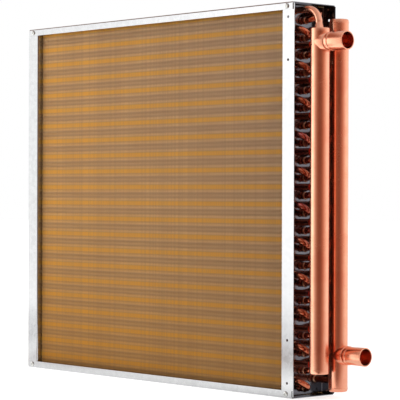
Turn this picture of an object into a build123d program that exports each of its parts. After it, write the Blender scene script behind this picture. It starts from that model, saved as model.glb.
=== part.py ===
from build123d import *
import math
import os

# Water-to-air heat exchanger: a finned coil of three rows of small copper tube in a folded
# sheet casing, with a supply header and a return header on the right-hand side.
# Millimetres. +X points to the header side, +Y to the back, +Z up.
# The origin is the centre of the casing's underside.

# Core: the tubes stand in a staggered triangular layout. There are hundreds of tube walls and
# holes, so the small tubes are drawn with few sides, and each half turn with few mitred corners.
ROWS = 3
TUBES_PER_ROW = 22
TUBE_PITCH = 25.4
TUBE_OD = 9.53
TUBE_SIDES = 6
BEND_CORNERS = 4
COIL_LENGTH = 584.2
FIN_END_GAP = 0.5
FIN_BORE_CLEARANCE = 0.1

# Fin edges: the fins are drawn as ridges, with this many open gaps on each face.
FIN_GAPS = 30
FIN_GAP_WIDTH = 5.0
FIN_GAP_DEPTH = 4.5

# Casing of folded galvanised sheet.
SHEET = 1.2
FOLD_RADIUS = 1.0
SIDE_FLANGE = 25.4
END_FLANGE = 11.0
END_PLATE_INSET = 2.5
FACE_RECESS = 10.5
CORE_END_SPACE = 3.4
TUBE_HOLE_CLEARANCE = 0.1

# Fixing holes in the flanges of the header side, measured from the casing's ends.
FIXING_HOLE_DIAMETER = 4.0
FIXING_HOLE_OUTER = 21.4
FIXING_HOLE_INNER = 83.0

# Casing screws, two at each corner, front and back.
SCREW_FROM_SIDE = 14.0
SCREW_FROM_END = 6.0
SCREW_SIDES = 8
SCREW_HEAD_DIAMETER = 7.6
SCREW_HEAD_HEIGHT = 2.0
SCREW_HEAD_TAPER = 25.0
SCREW_SHANK_DIAMETER = 3.5
SCREW_LENGTH = 8.0
SCREW_CLEARANCE = 0.1

# Small tubes outside the tube sheets.
TUBE_STUB = 5.0
FEEDER_INSERT = 4.0
ELBOW_RADIUS = 21.0
ELBOW_SIDES = 12
ELBOW_CORNERS = 3
ELBOW_SWAGE_LIP = 0.4
ELBOW_SOCKET_DIAMETER = 12.7
ELBOW_SOCKET_TAPER = 2.5
ELBOW_SOCKET_LENGTH = 3.5

# Headers: copper tube, capped at both ends.
HEADER_OD = 28.0
HEADER_WALL = 1.5
HEADER_GAP = 15.0
HEADER_INSET = 2.5
HEADER_OVERHANG = 12.5
FRONT_HEADER_HEAD = 22.8
REAR_HEADER_FOOT = 15.0
HEADER_JOINT_CLEARANCE = 0.1
CAP_THICKNESS = 3.0
CAP_BEVEL = 1.5
CAP_SPIGOT = 3.5

# Water ports: plain copper stubs brazed into a collar that flares out of the header.
PORT_OD = 27.0
PORT_WALL = 1.6
PORT_REACH = 54.0
REAR_PORT_RISE = 53.1
COLLAR_WALL = 0.5
COLLAR_FOOT_HEIGHT = 34.4
COLLAR_FOOT_DEPTH = 2.5
COLLAR_SHOULDER = 20.0
COLLAR_FOOT_SIDE = 0.3
COLLAR_CAP_GAP = 0.2
COLLAR_REACH = 27.0
COLLAR_SEAT = 10.0
PORT_SEAT_STEP = 0.5
PORT_SHOULDER_GAP = 0.5

# Worked out from the sizes above.
ROW_PITCH = TUBE_PITCH * math.cos(math.radians(30))
FIN_HEIGHT = TUBES_PER_ROW * TUBE_PITCH
FIN_DEPTH = ROWS * ROW_PITCH
CASING_WIDTH = COIL_LENGTH + 2 * SIDE_FLANGE
CASING_HEIGHT = FIN_HEIGHT + 2 * (CORE_END_SPACE + SHEET)
CASING_DEPTH = FIN_DEPTH + 2 * FACE_RECESS
CORE_FOOT = SHEET + CORE_END_SPACE
SHEET_END = SHEET + FOLD_RADIUS
TUBE_MOUTH = COIL_LENGTH / 2 + SHEET + TUBE_STUB
FRONT_ROW = 0
REAR_ROW = ROWS - 1
HEADER_X = CASING_WIDTH / 2 + HEADER_GAP + HEADER_OD / 2
HEADER_BORE = HEADER_OD - 2 * HEADER_WALL
PORT_BORE = PORT_OD - 2 * PORT_WALL
COLLAR_END = HEADER_X + COLLAR_REACH
PORT_SEAT_RADIUS = PORT_OD / 2 - PORT_SEAT_STEP


def row_y(row):
    """Depth of a row's tubes, row 0 being the front one."""
    return (row - (ROWS - 1) / 2) * ROW_PITCH


def tube_z(row, number):
    """Height of a tube, number 1 being the top one; odd rows sit half a pitch lower."""
    stagger = (row % 2) * TUBE_PITCH / 2
    top_tube = CORE_FOOT + FIN_HEIGHT - TUBE_PITCH / 4
    return top_tube - (number - 1) * TUBE_PITCH - stagger


def tube_section(diameter):
    """Section of a small tube, with flats on its true diameter."""
    return RegularPolygon(diameter / 2, TUBE_SIDES, major_radius=False)


def tube_pattern(diameter):
    """The sections of all tubes of the core, as seen from the side."""
    section = tube_section(diameter)
    places = [
        Pos(row_y(row), tube_z(row, number))
        for row in range(ROWS)
        for number in range(1, TUBES_PER_ROW + 1)
    ]
    return Sketch() + [place * section for place in places]


def small_tube(start_x, end_x, y, z):
    """A straight run of small tube along X."""
    run = extrude(Plane.YZ * tube_section(TUBE_OD), end_x - start_x)
    return Pos(start_x, y, z) * run


def mitre_corners(radius, degrees, count):
    """Corners of a mitred bend, as (along, down) from the bend's start, for a bend that turns down."""
    turn = math.radians(degrees) / count
    corner_radius = radius / math.cos(turn / 2)
    angles = [turn * (index + 0.5) for index in range(count)]
    return [(corner_radius * math.sin(angle), radius - corner_radius * math.cos(angle)) for angle in angles]


def u_tube(leg, spread):
    """U of small tube: two legs along X, one straight below the other, and a half turn to +X.

    The legs start at X = 0 and the half turn starts at X = leg.
    """
    corners = [(leg + along, 0, -down) for along, down in mitre_corners(spread / 2, 180, BEND_CORNERS)]
    path = Polyline((0, 0, 0), *corners, (0, 0, -spread))
    return sweep(Plane.YZ * tube_section(TUBE_OD), path, transition=Transition.RIGHT)


def fin_pack():
    """The stack of fins, bored for the tubes, with its edges open to the air on both faces."""
    length = COIL_LENGTH - 2 * FIN_END_GAP
    outline = Pos(0, CORE_FOOT + FIN_HEIGHT / 2) * Rectangle(FIN_DEPTH, FIN_HEIGHT)
    bored = outline - tube_pattern(TUBE_OD + 2 * FIN_BORE_CLEARANCE)
    block = extrude(Plane.YZ * bored, length / 2, both=True)
    pitch = length / (FIN_GAPS + 1)
    gap = Box(FIN_GAP_WIDTH, 2 * FIN_GAP_DEPTH, FIN_HEIGHT, align=(Align.CENTER, Align.CENTER, Align.MIN))
    gaps = [
        Pos((index + 1) * pitch - length / 2, side * FIN_DEPTH / 2, CORE_FOOT) * gap
        for side in (-1, 1)
        for index in range(FIN_GAPS)
    ]
    return block - gaps


def channel(depth, flange, length):
    """Sheet folded to a channel: the web lies across local X = 0 and both flanges point to +X."""
    outer = Rectangle(flange, depth, align=(Align.MIN, Align.CENTER))
    inner = Pos(SHEET, 0) * Rectangle(flange, depth - 2 * SHEET, align=(Align.MIN, Align.CENTER))
    profile = outer - inner
    profile = fillet(profile.vertices().group_by(Axis.X)[0], SHEET + FOLD_RADIUS)
    inner_corners = profile.vertices().filter_by_position(Axis.X, SHEET - 0.01, SHEET + 0.01)
    profile = fillet(inner_corners, FOLD_RADIUS)
    return extrude(profile, length)


def bores_through_flanges(x, heights, section):
    """Cutters along Y that pass through both flanges of the casing."""
    cutter = extrude(Plane.XZ * section, CASING_DEPTH, both=True)
    return [Pos(x, 0, z) * cutter for z in heights]


def screw_heights():
    """Heights of the casing screws."""
    return [SCREW_FROM_END, CASING_HEIGHT - SCREW_FROM_END]


def fixing_heights():
    """Heights of the fixing holes, lowest first."""
    low = [FIXING_HOLE_OUTER, FIXING_HOLE_INNER]
    return low + [CASING_HEIGHT - z for z in reversed(low)]


def screw_section(clearance):
    """Section of a screw's shank, or of its hole when a clearance is given."""
    return RegularPolygon(SCREW_SHANK_DIAMETER / 2 + clearance, SCREW_SIDES)


def screw_bores(side):
    """Clearance for the screws of one side of the casing, +1 being the header side."""
    x = side * (CASING_WIDTH / 2 - SCREW_FROM_SIDE)
    return bores_through_flanges(x, screw_heights(), screw_section(SCREW_CLEARANCE))


def tube_sheet(side):
    """End sheet that carries the tube ends; its flanges point away from the coil."""
    depth = CASING_DEPTH - 2 * SHEET
    sheet = channel(depth, SIDE_FLANGE, CASING_HEIGHT - 2 * SHEET_END)
    sheet = Rot(0, 0, 0 if side > 0 else 180) * sheet
    sheet = Pos(side * COIL_LENGTH / 2, 0, SHEET_END) * sheet
    holes = extrude(Plane.YZ * tube_pattern(TUBE_OD + 2 * TUBE_HOLE_CLEARANCE), side * 2 * SHEET)
    sheet -= Pos(side * (COIL_LENGTH / 2 - SHEET / 2), 0, 0) * holes
    sheet -= screw_bores(side)
    if side > 0:
        x = CASING_WIDTH / 2 - SIDE_FLANGE / 2
        sheet -= bores_through_flanges(x, fixing_heights(), Circle(FIXING_HOLE_DIAMETER / 2))
    return sheet


def end_plate(upper):
    """Top or bottom plate; its flanges lap over those of the tube sheets."""
    length = CASING_WIDTH - 2 * END_PLATE_INSET
    z = CASING_HEIGHT if upper else 0
    inward = -1 if upper else 1
    lie = Plane(origin=(-length / 2, 0, z), x_dir=(0, 0, inward), z_dir=(1, 0, 0))
    plate = lie * channel(CASING_DEPTH, END_FLANGE, length)
    return plate - screw_bores(-1) - screw_bores(1)


def casing_screw():
    """Pan-head screw at the origin, with its head to -Y."""
    head = Plane.XZ * RegularPolygon(SCREW_HEAD_DIAMETER / 2, SCREW_SIDES)
    shank = Plane.XZ * screw_section(0)
    return extrude(head, SCREW_HEAD_HEIGHT, taper=SCREW_HEAD_TAPER) + extrude(shank, -SCREW_LENGTH)


def casing_screws(face):
    """The four screws of the front face (-1) or of the back face (+1)."""
    screw = Pos(0, -CASING_DEPTH / 2, 0) * casing_screw()
    if face > 0:
        screw = Rot(0, 0, 180) * screw
    x = CASING_WIDTH / 2 - SCREW_FROM_SIDE
    return [Pos(side * x, 0, z) * screw for side in (-1, 1) for z in screw_heights()]


def hairpin(row, upper_number):
    """Hairpin tube: two legs through the whole coil, joined by a half turn on the left."""
    tube = Rot(0, 0, 180) * u_tube(2 * TUBE_MOUTH, TUBE_PITCH)
    return Pos(TUBE_MOUTH, row_y(row), tube_z(row, upper_number)) * tube


def return_bend(from_row, to_row, number):
    """Half turn that joins the same tube number of two neighbouring rows, on the header side."""
    rise = tube_z(to_row, number) - tube_z(from_row, number)
    step = row_y(to_row) - row_y(from_row)
    lean = math.degrees(math.atan2(step, -rise))
    bend = Rot(lean, 0, 0) * u_tube(0, math.hypot(step, rise))
    return Pos(TUBE_MOUTH, row_y(from_row), tube_z(from_row, number)) * bend


def feeders(row, numbers):
    """Straight tubes from the coil into a header."""
    end_x = HEADER_X - HEADER_OD / 2 + FEEDER_INSERT
    return [small_tube(TUBE_MOUTH, end_x, row_y(row), tube_z(row, number)) for number in numbers]


def elbow_section(diameter):
    """Section of the feed elbow, with flats on its true diameter."""
    return RegularPolygon(diameter / 2, ELBOW_SIDES, major_radius=False)


def top_feed_elbow():
    """Feed of the top tube: a quarter bend with a swaged foot that enters the header's top cap."""
    y = row_y(FRONT_ROW)
    top = tube_z(FRONT_ROW, 1)
    bend_x = HEADER_X - ELBOW_RADIUS
    foot_z = FRONT_HEADER_TOP - CAP_THICKNESS - CAP_SPIGOT
    socket_top = FRONT_HEADER_TOP + ELBOW_SOCKET_LENGTH
    taper_top = socket_top + ELBOW_SOCKET_TAPER
    quarter = mitre_corners(ELBOW_RADIUS, 90, ELBOW_CORNERS)
    corners = [(bend_x + along, y, top - down) for along, down in quarter]
    path = Polyline((TUBE_MOUTH, y, top), *corners, (HEADER_X, y, foot_z))
    start = Plane(origin=(TUBE_MOUTH, y, top), z_dir=(1, 0, 0))
    tube = sweep(start * elbow_section(TUBE_OD), path, transition=Transition.RIGHT)
    socket = extrude(elbow_section(ELBOW_SOCKET_DIAMETER), socket_top - foot_z)
    swage = loft(
        [
            Pos(0, 0, socket_top) * elbow_section(ELBOW_SOCKET_DIAMETER),
            Pos(0, 0, taper_top) * elbow_section(TUBE_OD + ELBOW_SWAGE_LIP),
        ],
        ruled=True,
    )
    return tube + Pos(HEADER_X, y, foot_z) * socket + Pos(HEADER_X, y, 0) * swage


def collar(y, port_z):
    """Saddle collar: taller than the port where it wraps the header, then a cone down to the port."""
    along = (Align.CENTER, Align.CENTER, Align.MIN)
    to_port = Plane(origin=(HEADER_X, y, port_z), x_dir=(0, 0, 1), z_dir=(1, 0, 0))
    foot_radius = COLLAR_FOOT_HEIGHT / 2
    mouth_radius = PORT_OD / 2 + COLLAR_WALL
    saddle = to_port * Pos(0, 0, COLLAR_FOOT_DEPTH) * Cylinder(
        foot_radius, COLLAR_SHOULDER - COLLAR_FOOT_DEPTH, align=along
    )
    neck = to_port * Pos(0, 0, COLLAR_SHOULDER) * Cone(
        foot_radius, mouth_radius, COLLAR_REACH - COLLAR_SHOULDER, align=along
    )
    width = HEADER_OD - 2 * COLLAR_FOOT_SIDE
    within = to_port * Box(COLLAR_FOOT_HEIGHT, width, COLLAR_REACH, align=along)
    return (saddle + neck) & within


def header(y, low, high, port_z, feeder_row, feeder_numbers):
    """Header tube with its port collar and the holes for its feeders."""
    upright = (Align.CENTER, Align.CENTER, Align.MIN)
    height = high - low - 2 * CAP_THICKNESS
    foot = Pos(HEADER_X, y, low + CAP_THICKNESS)
    body = foot * Cylinder(HEADER_OD / 2, height, align=upright)
    body += collar(y, port_z)
    body -= foot * Cylinder(HEADER_BORE / 2, height, align=upright)
    to_port = Plane(origin=(HEADER_X, y, port_z), z_dir=(1, 0, 0))
    body -= to_port * Cylinder(PORT_BORE / 2, COLLAR_REACH, align=upright)
    seat = to_port * Pos(0, 0, COLLAR_REACH - COLLAR_SEAT)
    body -= seat * Cylinder(PORT_SEAT_RADIUS + HEADER_JOINT_CLEARANCE, COLLAR_SEAT, align=upright)
    hole = Plane.YZ * tube_section(TUBE_OD + 2 * HEADER_JOINT_CLEARANCE)
    holes = [
        Pos(HEADER_X - HEADER_OD, row_y(feeder_row), tube_z(feeder_row, number)) * extrude(hole, HEADER_OD)
        for number in feeder_numbers
    ]
    return body - holes


def header_cap(y, end_z, upper, elbow_y=None):
    """Bevelled cap whose spigot fits the header's bore; one cap takes the feed elbow."""
    upright = (Align.CENTER, Align.CENTER, Align.MIN)
    disc = Cylinder(HEADER_OD / 2, CAP_THICKNESS, align=upright)
    disc = chamfer(disc.edges().group_by(Axis.Z)[-1], CAP_BEVEL)
    spigot_radius = HEADER_BORE / 2 - HEADER_JOINT_CLEARANCE
    cap = disc + Pos(0, 0, -CAP_SPIGOT) * Cylinder(spigot_radius, CAP_SPIGOT, align=upright)
    if not upper:
        cap = Rot(180, 0, 0) * cap
    cap = Pos(HEADER_X, y, end_z + (-CAP_THICKNESS if upper else CAP_THICKNESS)) * cap
    if elbow_y is not None:
        bore = elbow_section(ELBOW_SOCKET_DIAMETER + 2 * HEADER_JOINT_CLEARANCE)
        cap -= Pos(HEADER_X, elbow_y, end_z) * extrude(bore, CAP_THICKNESS + 2 * CAP_SPIGOT, both=True)
    return cap


def port(y, z):
    """Water port: an open stub of copper tube whose reduced end is seated in the header's collar."""
    start = COLLAR_END - COLLAR_SEAT
    shoulder = COLLAR_END + PORT_SHOULDER_GAP
    seated = Circle(PORT_SEAT_RADIUS) - Circle(PORT_BORE / 2)
    free = Circle(PORT_OD / 2) - Circle(PORT_BORE / 2)
    seated_end = Plane(origin=(start, y, z), z_dir=(1, 0, 0)) * extrude(seated, shoulder - start)
    free_end = Plane(origin=(shoulder, y, z), z_dir=(1, 0, 0))
    return seated_end + free_end * extrude(free, HEADER_X + PORT_REACH - shoulder)


# Header places that follow from the tubes they serve.
FRONT_FEEDER_NUMBERS = range(3, TUBES_PER_ROW + 1, 2)
REAR_FEEDER_NUMBERS = range(2, TUBES_PER_ROW + 1, 2)
FRONT_HEADER_Y = row_y(FRONT_ROW) + HEADER_INSET
REAR_HEADER_Y = row_y(REAR_ROW) - HEADER_INSET
FRONT_HEADER_TOP = tube_z(FRONT_ROW, FRONT_FEEDER_NUMBERS[0]) + FRONT_HEADER_HEAD
FRONT_HEADER_FOOT = tube_z(FRONT_ROW, FRONT_FEEDER_NUMBERS[-1]) - HEADER_OVERHANG
REAR_HEADER_TOP = tube_z(REAR_ROW, REAR_FEEDER_NUMBERS[0]) + HEADER_OVERHANG
REAR_HEADER_LOW = tube_z(REAR_ROW, REAR_FEEDER_NUMBERS[-1]) - REAR_HEADER_FOOT
FRONT_PORT_DROP = CAP_THICKNESS + COLLAR_CAP_GAP + COLLAR_FOOT_HEIGHT / 2
FRONT_PORT_Z = FRONT_HEADER_TOP - FRONT_PORT_DROP
REAR_PORT_Z = REAR_HEADER_LOW + REAR_PORT_RISE


def save(name, shapes):
    """Write one node as a STEP file."""
    solids = shapes if isinstance(shapes, list) else [shapes]
    export_step(Compound(children=[solid.solid() for solid in solids]), f"parts/{name}.step")


def main():
    os.makedirs("parts", exist_ok=True)
    save("fin_pack", fin_pack())
    save("left_tube_sheet", tube_sheet(-1))
    save("right_tube_sheet", tube_sheet(1))
    save("top_casing_plate", end_plate(True))
    save("bottom_casing_plate", end_plate(False))
    save("front_casing_screws", casing_screws(-1))
    save("rear_casing_screws", casing_screws(1))

    for circuit in range(1, TUBES_PER_ROW // 2 + 1):
        odd = 2 * circuit - 1
        even = 2 * circuit
        save(f"hairpins_{circuit:02d}", [hairpin(row, odd) for row in range(ROWS)])
        save(f"front_return_bend_{circuit:02d}", return_bend(0, 1, even))
        save(f"rear_return_bend_{circuit:02d}", return_bend(1, 2, odd))

    save("front_feeders", feeders(FRONT_ROW, FRONT_FEEDER_NUMBERS))
    save("rear_feeders", feeders(REAR_ROW, REAR_FEEDER_NUMBERS))
    save("top_feed_elbow", top_feed_elbow())

    save(
        "front_header",
        header(
            FRONT_HEADER_Y,
            FRONT_HEADER_FOOT,
            FRONT_HEADER_TOP,
            FRONT_PORT_Z,
            FRONT_ROW,
            FRONT_FEEDER_NUMBERS,
        ),
    )
    save(
        "rear_header",
        header(
            REAR_HEADER_Y,
            REAR_HEADER_LOW,
            REAR_HEADER_TOP,
            REAR_PORT_Z,
            REAR_ROW,
            REAR_FEEDER_NUMBERS,
        ),
    )
    save(
        "front_header_caps",
        [
            header_cap(FRONT_HEADER_Y, FRONT_HEADER_TOP, True, row_y(FRONT_ROW)),
            header_cap(FRONT_HEADER_Y, FRONT_HEADER_FOOT, False),
        ],
    )
    save(
        "rear_header_caps",
        [
            header_cap(REAR_HEADER_Y, REAR_HEADER_TOP, True),
            header_cap(REAR_HEADER_Y, REAR_HEADER_LOW, False),
        ],
    )
    save("water_ports", [port(FRONT_HEADER_Y, FRONT_PORT_Z), port(REAR_HEADER_Y, REAR_PORT_Z)])


main()
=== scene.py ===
"""Builds the looks of a water-to-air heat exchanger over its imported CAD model.

The panel lists one operator per piece or group of like pieces, and one for the studio.
Lengths are metres in the CAD model's frame: X along the coil to the headers, Y to the back, Z up.
"""

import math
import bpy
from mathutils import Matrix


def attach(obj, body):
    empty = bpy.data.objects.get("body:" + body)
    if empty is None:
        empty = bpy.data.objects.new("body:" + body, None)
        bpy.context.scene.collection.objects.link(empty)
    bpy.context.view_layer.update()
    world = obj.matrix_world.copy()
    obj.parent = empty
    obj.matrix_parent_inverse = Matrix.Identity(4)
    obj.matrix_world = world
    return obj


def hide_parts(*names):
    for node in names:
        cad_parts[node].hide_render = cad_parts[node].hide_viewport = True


bl_info = {
    "name": "Water to Air Heat Exchanger Looks",
    "version": (1, 0, 0),
    "blender": (4, 5, 0),
    "location": "3D View > Sidebar > Heat Exchanger",
    "description": "Builds fins, copper circuits, headers, casing finish and studio over the CAD model",
    "category": "Object",
}

import bpy
import numpy as np
from mathutils import Matrix, Vector

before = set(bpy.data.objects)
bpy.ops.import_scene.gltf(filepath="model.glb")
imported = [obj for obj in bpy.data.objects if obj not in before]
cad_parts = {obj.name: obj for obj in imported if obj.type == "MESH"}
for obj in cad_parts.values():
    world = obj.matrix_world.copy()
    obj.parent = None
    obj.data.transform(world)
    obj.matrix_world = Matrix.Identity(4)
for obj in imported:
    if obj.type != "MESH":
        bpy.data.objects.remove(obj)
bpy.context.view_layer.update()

# Casing and tube layout shared by the pieces. It follows the CAD model.
CASING_HEIGHT = 0.568
CASING_FACE_Y = 0.043495
CHANNEL_HALF_DEPTH = 0.0419
TUBE_PITCH = 0.0254
ROW_PITCH = 0.0219970
TOP_TUBE_Z = 0.55705
TUBES_PER_ROW = 22
CIRCUITS = 11
TUBE_RADIUS = 0.004765
BEND_RADIUS = TUBE_PITCH / 2
TUBE_MOUTH_X = 0.2983
HAIRPIN_BEND_X = -0.298335
WEB_FACE_X = 0.2933
FIN_FOOT_Z = 0.0046
HEADER_X = 0.3465
HEADER_RADIUS = 0.014
HEADER_INSET = 0.0025
PORT_END_X = 0.4005


def tube_z(row, number):
    """Height of a tube's centre. The middle row sits half a pitch lower."""
    lowered = TUBE_PITCH / 2 if row == 1 else 0.0
    return TOP_TUBE_Z - TUBE_PITCH * (number - 1) - lowered


def row_y(row):
    """Depth of a row's centre plane."""
    return (row - 1) * ROW_PITCH


FRONT_HEADER_TOP = tube_z(0, 3) + 0.0228
FRONT_HEADER_FOOT = tube_z(0, 21) - 0.0125
FRONT_PORT_Z = FRONT_HEADER_TOP - 0.0204
REAR_HEADER_TOP = tube_z(2, 2) + 0.0125
REAR_HEADER_FOOT = tube_z(2, 22) - 0.015
REAR_PORT_Z = REAR_HEADER_FOOT + 0.0531

# The foot of the top elbow, where it enters the header: height over the header's top, and radius.
ELBOW_FOOT = (
    (0.0068, 0.005165),
    (0.0056, 0.00545),
    (0.0040, 0.00590),
    (0.0024, 0.00640),
    (0.0012, 0.00680),
    (0.0004, 0.00715),
    (-0.0002, 0.0076),
    (-0.0040, 0.0076),
)

# The crown of a fully domed cap: depth from its end, and how much smaller than the header it is there.
CAP_CROWN = ((0.0001, 0.0038), (0.0004, 0.0020), (0.0010, 0.0009), (0.0018, 0.0003), (0.0028, 0.0001))

# Level directions of the viewing side: towards the camera, and to the camera's right.
VIEW_AHEAD = (0.7454, -0.6665, 0.0)
VIEW_ASIDE = (0.6665, 0.7454, 0.0)

# The side on which the room is dim and warm high up.
DARK_SIDE = (-0.9736, -0.2284, 0.0)

CAMERA_PLACE = (2.163984, -1.871037, 0.291097)
CAMERA_YAW = -0.841751
CAMERA_PITCH = -0.00286
CAMERA_ROLL = 0.003355

# Brightness of the room at half strength, by the angle round from the viewing side in degrees.
ROOM = (
    (-180.0, (0.60, 0.60, 0.60)),
    (-150.0, (0.95, 0.95, 0.95)),
    (-120.0, (1.42, 1.42, 1.42)),
    (-106.0, (0.92, 0.92, 0.92)),
    (-100.0, (0.98, 0.98, 0.98)),
    (-93.0, (1.28, 1.28, 1.28)),
    (-84.0, (0.85, 0.85, 0.84)),
    (-68.0, (0.44, 0.43, 0.41)),
    (-52.0, (0.27, 0.22, 0.19)),
    (-34.0, (0.17, 0.085, 0.055)),
    (-14.0, (0.105, 0.038, 0.020)),
    (10.0, (0.105, 0.038, 0.020)),
    (30.0, (0.20, 0.09, 0.055)),
    (50.0, (0.36, 0.22, 0.17)),
    (68.0, (0.47, 0.43, 0.40)),
    (92.0, (0.62, 0.62, 0.62)),
    (130.0, (0.62, 0.62, 0.62)),
)

FLOOR_Z = -0.0006
FLOOR_REACH = 30.0

# The floor's reflected glow follows the room about this point in front of the headers.
FLOOR_PIVOT = (0.42, -0.12, 0.0)

# Patches of that glow: centre, inner and outer distance, strength and colour.
FLOOR_PATCHES = (
    ((-0.32, -0.38, 0.0), 0.12, 0.34, 0.8, (0.27, 0.10, 0.05, 1.0)),
    ((-1.15, -0.65, 0.0), 0.35, 0.75, 1.0, (1.35, 1.35, 1.35, 1.0)),
)


def metres(name, description, default):
    """A property that holds a length in metres."""
    return bpy.props.FloatProperty(
        name=name, description=description, default=default, unit="LENGTH", subtype="DISTANCE")


def whole_number(name, description, default, least):
    """A property that holds a whole number."""
    return bpy.props.IntProperty(name=name, description=description, default=default, min=least)


def plain_number(name, description, default):
    """A property that holds a number that isn't a length."""
    return bpy.props.FloatProperty(name=name, description=description, default=default)


class FinSettings(bpy.types.PropertyGroup):
    """Sizes of the fin pack."""

    count: whole_number("Fins", "Number of fins along the coil", 276, 3)
    length: metres("Pack Length", "Length of the fin pack along the tubes", 0.5824)
    depth: metres("Depth", "Depth of a fin in the air's direction", 0.06599)
    thickness: metres("Thickness", "Sheet thickness of a fin with its coating", 0.00018)
    ripple: metres("Ripple", "Depth of the pressed ripples", 0.0009)
    jitter: metres("Unevenness", "Largest random shift of a fin along the tubes", 0.00016)
    seed: whole_number("Seed", "Fixed seed of the random shifts", 7, 0)


class TubeSettings(bpy.types.PropertyGroup):
    """Sizes of the small copper tubes."""

    sides: whole_number("Sides", "Facets round a tube", 20, 6)
    bend_steps: whole_number("Bend Steps", "Facets along a half turn", 14, 4)
    bell_growth: metres("Bell Growth", "How far a belled mouth stands out from the tube", 0.00045)
    braze_growth: metres("Braze Growth", "How far the ring of filler stands out from the tube", 0.0011)


class HeaderSettings(bpy.types.PropertyGroup):
    """Sizes of the headers, caps and water ports."""

    sides: whole_number("Sides", "Facets round a header or port", 64, 12)
    wall: metres("Port Wall", "Wall thickness of a water port", 0.0016)
    port_radius: metres("Port Radius", "Outer radius of a water port", 0.0135)
    collar_reach: metres("Collar Reach", "Distance from the header's axis to its collar's end", 0.0252)
    groove_reach: metres("Groove Reach", "Distance from the header's axis to its collar's groove", 0.0182)
    cap_height: metres("Cap Height", "Height of a header's end cap", 0.0045)


class ScrewSettings(bpy.types.PropertyGroup):
    """Sizes of the casing screws."""

    head_radius: metres("Head Radius", "Radius of a pan head", 0.0039)
    head_height: metres("Head Height", "Height of a pan head over the sheet", 0.00195)
    recess: metres("Cross Recess", "Length of the cross recess", 0.0042)


class StudioSettings(bpy.types.PropertyGroup):
    """Camera and lights of the studio."""

    lens: plain_number("Lens", "Focal length on a 36 mm sensor", 163.7)
    key_power: plain_number("Key Power", "Power of the large left light", 29.0)
    side_power: plain_number("Side Power", "Power of the right light", 10.0)
    world: plain_number("World", "Strength of the surround", 1.0)


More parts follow.
